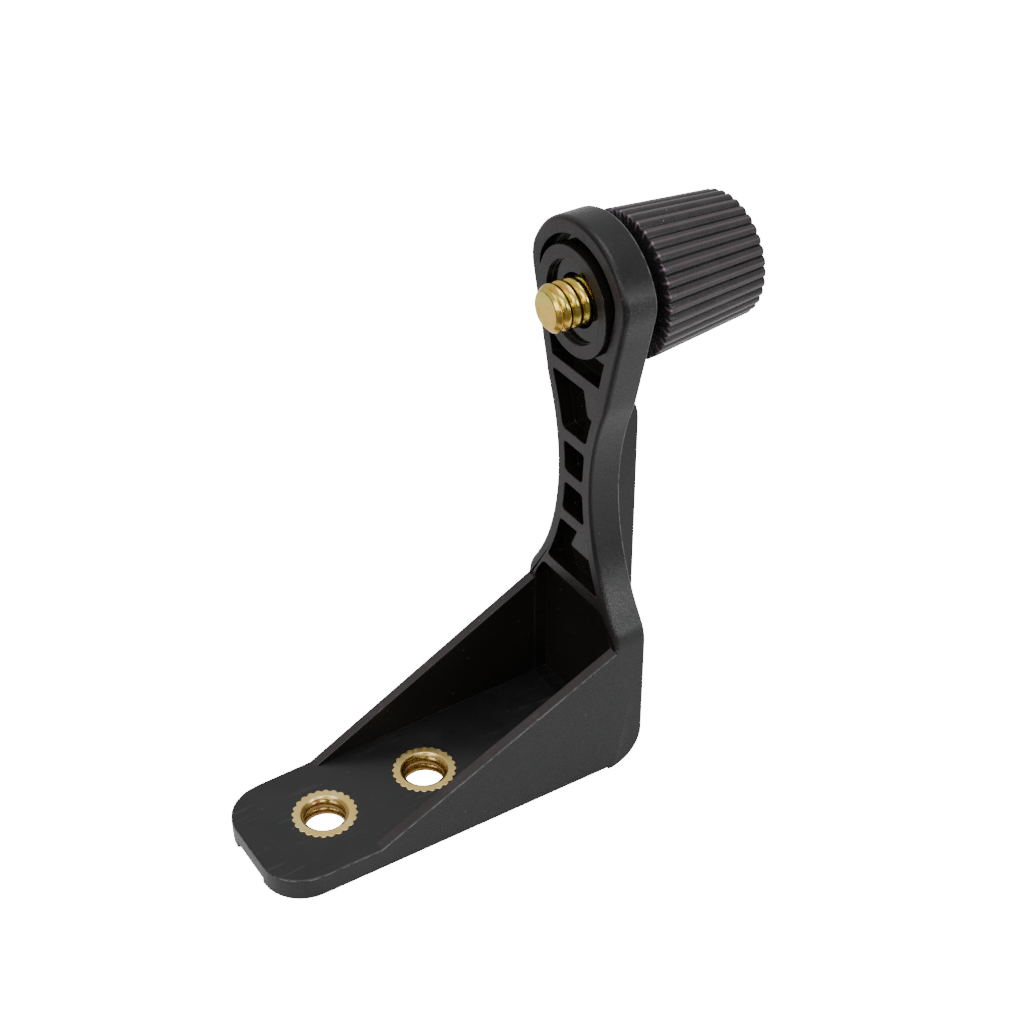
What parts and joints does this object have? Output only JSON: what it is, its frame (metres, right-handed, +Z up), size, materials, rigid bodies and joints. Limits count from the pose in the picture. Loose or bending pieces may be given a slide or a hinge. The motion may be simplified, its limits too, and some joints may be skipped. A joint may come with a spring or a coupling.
{
  "type": "optics adapter bracket with captive clamp screw",
  "caption": "L-shaped moulded tripod adapter bracket with threaded brass inserts in its foot and a captive clamp screw turned by a fluted knob through the eye of its arm.",
  "frame": {"origin": "under the middle of the whole object's box, at the height of the heel pad that it stands on", "axes": "+Z up along the arm, +Y from the toe of the foot towards the knob, along the clamp screw's axis, +X across the bracket"},
  "size_m": [0.022, 0.075, 0.0813],
  "materials": {
    "bracket_plastic": "fine moulded grain, semi-matt",
    "knob_plastic": "fine grain over flutes, semi-matt",
    "washer_acetal": "smooth turned acetal",
    "insert_brass": "turned and knurled, satin",
    "screw_plating": "yellow-passivated zinc plating, glossy",
    "clip_steel": "spring steel, satin"
  },
  "bodies": {
    "bracket": {"bracket_body": "bracket_plastic", "toe_insert": "insert_brass", "rear_insert": "insert_brass", "thrust_washer": "washer_acetal"},
    "clip": {"retaining_clip": "clip_steel"},
    "knob": {"clamp_screw": "screw_plating", "knob_shell": "knob_plastic", "knob_cap": "knob_plastic"}
  },
  "joints": [
    {"name": "screw_travel", "type": "slide", "parent": "bracket", "child": "clip", "axis": [0, 1, 0], "range_m": [0, 0.0015]},
    {"name": "knob_spin", "type": "hinge", "parent": "clip", "child": "knob", "pos_m": [0, 0.01415, 0.07049], "axis": [0, -1, 0], "continuous": true}
  ]
}
